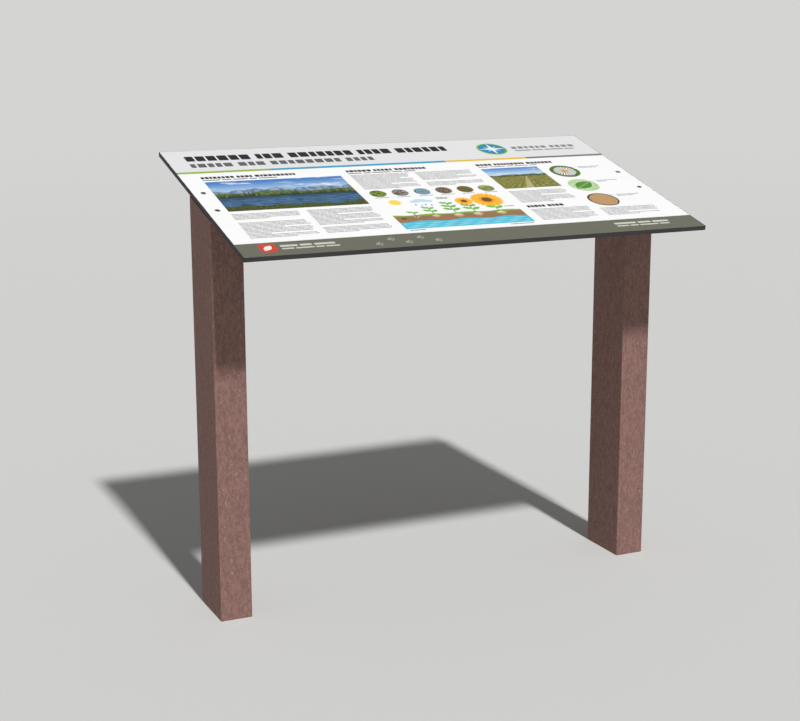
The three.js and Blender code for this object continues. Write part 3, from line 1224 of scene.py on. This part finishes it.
# Its parts are shares of its reach.
PETAL_START = 0.3
PETAL_LENGTH = 0.75
PETAL_WIDTH = 0.32
INNER_TIPS = 0.62
INNER_NOTCHES = 0.38
HEART = 0.64
PETAL_INKS = [ink("petal_amber", 246, 172, 34), ink("petal_yellow", 252, 190, 44)]
for half, petal_ink in enumerate(PETAL_INKS):
    with printed(f"petals_{half + 1}", petal_ink, layer=5 + half):
        for flower, (across, down, reach, count) in enumerate(FLOWERS):
            for petal in range(half, count, 2):
                turn = 360 * petal / count
                start_across = across + PETAL_START * reach * math.cos(math.radians(turn))
                start_down = down + PETAL_START * reach * math.sin(math.radians(turn))
                lifts = 5 * flower + petal // 2 % 5
                leaf(start_across, start_down, PETAL_LENGTH * reach, PETAL_WIDTH * reach, turn, lifts)

with printed("inner_petals", ink("petal_orange", 238, 148, 30), layer=7):
    for across, down, reach, count in FLOWERS:
        star(across, down, count, INNER_TIPS * reach, INNER_NOTCHES * reach)
with printed("flower_hearts", ink("heart_brown", 112, 72, 38), layer=8):
    for across, down, reach, _ in FLOWERS:
        oval(across, down, HEART * reach, HEART * reach)

# %% Draw the weather and the labels
with printed("sun_mark", ink("sun_yellow", 252, 214, 74), layer=2):
    star(430, 374, 14, 17, 11.5)
CLOUD = [(492, 370, 34, 17), (478, 375, 26, 13), (508, 375, 28, 12)]
with printed("cloud", ink("cloud_blue", 190, 220, 236), layer=2):
    for lifts, puff in enumerate(CLOUD):
        oval(*puff, lifts=lifts)
with printed("drops", ink("drop_blue", 60, 150, 210), layer=2):
    for across, down in ((474, 390), (486, 396), (498, 390), (510, 396)):
        leaf(across, down, 8, 4.4, 110)

# Each label has its left end, its right end and its place down.
LABELS = [(536, 570, 358), (536, 562, 365), (676, 703, 428), (399, 440, 528), (640, 700, 528)]
with printed("labels", SOFT_INK, layer=3):
    for label in LABELS:
        text_line(*label)

# %% [markdown]
# ## Compass rose and footer marks
#
# A compass rose fills the top right corner, and a few animal tracks cross the olive band. Both are
# built up from the same flat shapes: the rose is two discs under two stars of four points, and each
# track is one oval with four smaller ones in front of it.

# %% Draw the compass rose
ROSE = (824, 72)
with printed("rose_ring", ink("rose_green", 128, 186, 70), layer=2):
    oval(*ROSE, 78, 78, points=72)
with printed("rose_disc", ink("rose_blue", 40, 132, 176), layer=3):
    oval(*ROSE, 68, 68, points=72)
with printed("rose_points", ink("rose_pale", 150, 206, 226), layer=4):
    star(*ROSE, 4, 26, 7, 45)
with printed("rose_star", WHITE_INK, layer=5):
    star(*ROSE, 4, 36, 8)

# %% Print the footer's marks
with printed("badge", ink("badge_red", 206, 66, 42), layer=2):
    bar(MARGIN, 551, 36, 40, 5)
with printed("badge_leaf", WHITE_INK, layer=3):
    leaf(MARGIN + 8, 583, 30, 16, -52)

# Each group of words has its place across and the widths in its upper and its lower row.
FOOTER_WORDS = [(92, [38, 26, 46], [26, 40, 18, 30]), (884, [56, 34, 42], [30, 22, 48, 26])]
with printed("footer_words", ink("footer_pale", 206, 206, 196), layer=2):
    for across, upper, lower in FOOTER_WORDS:
        word_row(across, 560, 9, upper, gap=5, round_corner=2)
        word_row(across, 575, 6, lower, gap=4)

# The toes' places are measured from the middle of a track.
TOES = [(5, -7.5), (9, -2.8), (9, 2.8), (5, 7.5)]
with printed("tracks", ink("track_pale", 160, 160, 146), layer=2):
    for place in range(5):
        across = 300 + 34 * place
        down = 566 if place % 2 else 586
        oval(across, down, 10, 10)
        for toe_across, toe_down in TOES:
            oval(across + toe_across, down + toe_down, 5.2, 3.8)

# %% [markdown]
# ## The studio
#
# A high light in front of the sign throws the panel's shadow back across the ground and down the
# posts. It is taller than it is wide, like a window, so it is made of three suns, one above the other,
# and each is wide enough to keep the shadow's edge soft. A dim, even sky fills in the rest. The floor
# is a wide pale disc. Far out it fades into the pale backdrop, for the camera alone, so that no horizon
# shows and the light on the sign stays as it is.

# %% Lay the floor
FLOOR_RADIUS = 60
FADE_START = 3.5
FADE_END = 14
BACKDROP = colour(212, 212, 210)


def studio_floor():
    finish = Finish("studio_floor")
    x, y, _ = finish.split(finish.place())
    seen = finish.node("LightPath", output="Is Camera Ray")
    far = finish.mask((x * x + y * y).root(), FADE_START, FADE_END) * seen
    glow = finish.node("Emission", {}, {"Color": BACKDROP})
    finish.finish_with(base_color=colour(216, 216, 214), roughness=0.9)
    matt = Value(finish, finish.shader.outputs[0])
    surface = finish.node("MixShader", {}, {0: far, 1: matt, 2: glow})
    finish.connect(finish.tree.nodes["Material Output"].inputs["Surface"], surface)
    return finish.material


bpy.ops.object.select_all(action="DESELECT")
bpy.ops.mesh.primitive_circle_add(vertices=96, radius=FLOOR_RADIUS, fill_type="NGON")
floor = bpy.context.object
floor.name = "studio_floor"
floor.data.materials.append(studio_floor())
print("floor:", 2 * FLOOR_RADIUS, "m across")

# %% Hang the lights
SUN_DIRECTION = Vector((0.009, 0.794, -1))
SUN_STRENGTH = 2.9
SUN_ANGLE = math.radians(2.6)
SUN_STEP = math.radians(1.2)
SUN_STEPS = {"sun_low": -1, "sun_middle": 0, "sun_high": 1}

for name, steps in SUN_STEPS.items():
    sun_data = bpy.data.lights.new(name, "SUN")
    sun_data.energy = SUN_STRENGTH / len(SUN_STEPS)
    sun_data.angle = SUN_ANGLE
    sun = bpy.data.objects.new(name, sun_data)
    bpy.context.scene.collection.objects.link(sun)
    direction = Matrix.Rotation(-steps * SUN_STEP, 3, "X") @ SUN_DIRECTION
    sun.rotation_euler = direction.to_track_quat("-Z", "Y").to_euler()

# %% Light the sky
SKY_STRENGTH = 0.18
WHITE = (1, 1, 1, 1)

studio = bpy.data.worlds.new("studio")
studio.use_nodes = True
bpy.context.scene.world = studio
sky = Net(studio.node_tree)
camera_ray, glossy_ray, transmission_ray = [
    sky.node("LightPath", output=f"Is {kind} Ray") for kind in ("Camera", "Glossy", "Transmission")]
seen = camera_ray.maths("MAXIMUM", glossy_ray).maths("MAXIMUM", transmission_ray)
daylight = sky.tree.nodes["Background"]
sky.connect(daylight.inputs["Color"], WHITE)
sky.connect(daylight.inputs["Strength"], SKY_STRENGTH)
backdrop = sky.node("Background", {}, {"Color": BACKDROP})
surface = sky.node("MixShader", {}, {0: seen, 1: Value(sky, daylight.outputs[0]), 2: backdrop})
sky.connect(sky.tree.nodes["World Output"].inputs["Surface"], surface)

bpy.context.scene.view_settings.view_transform = "Standard"
print("lights:", len(SUN_STEPS), "suns and the sky")
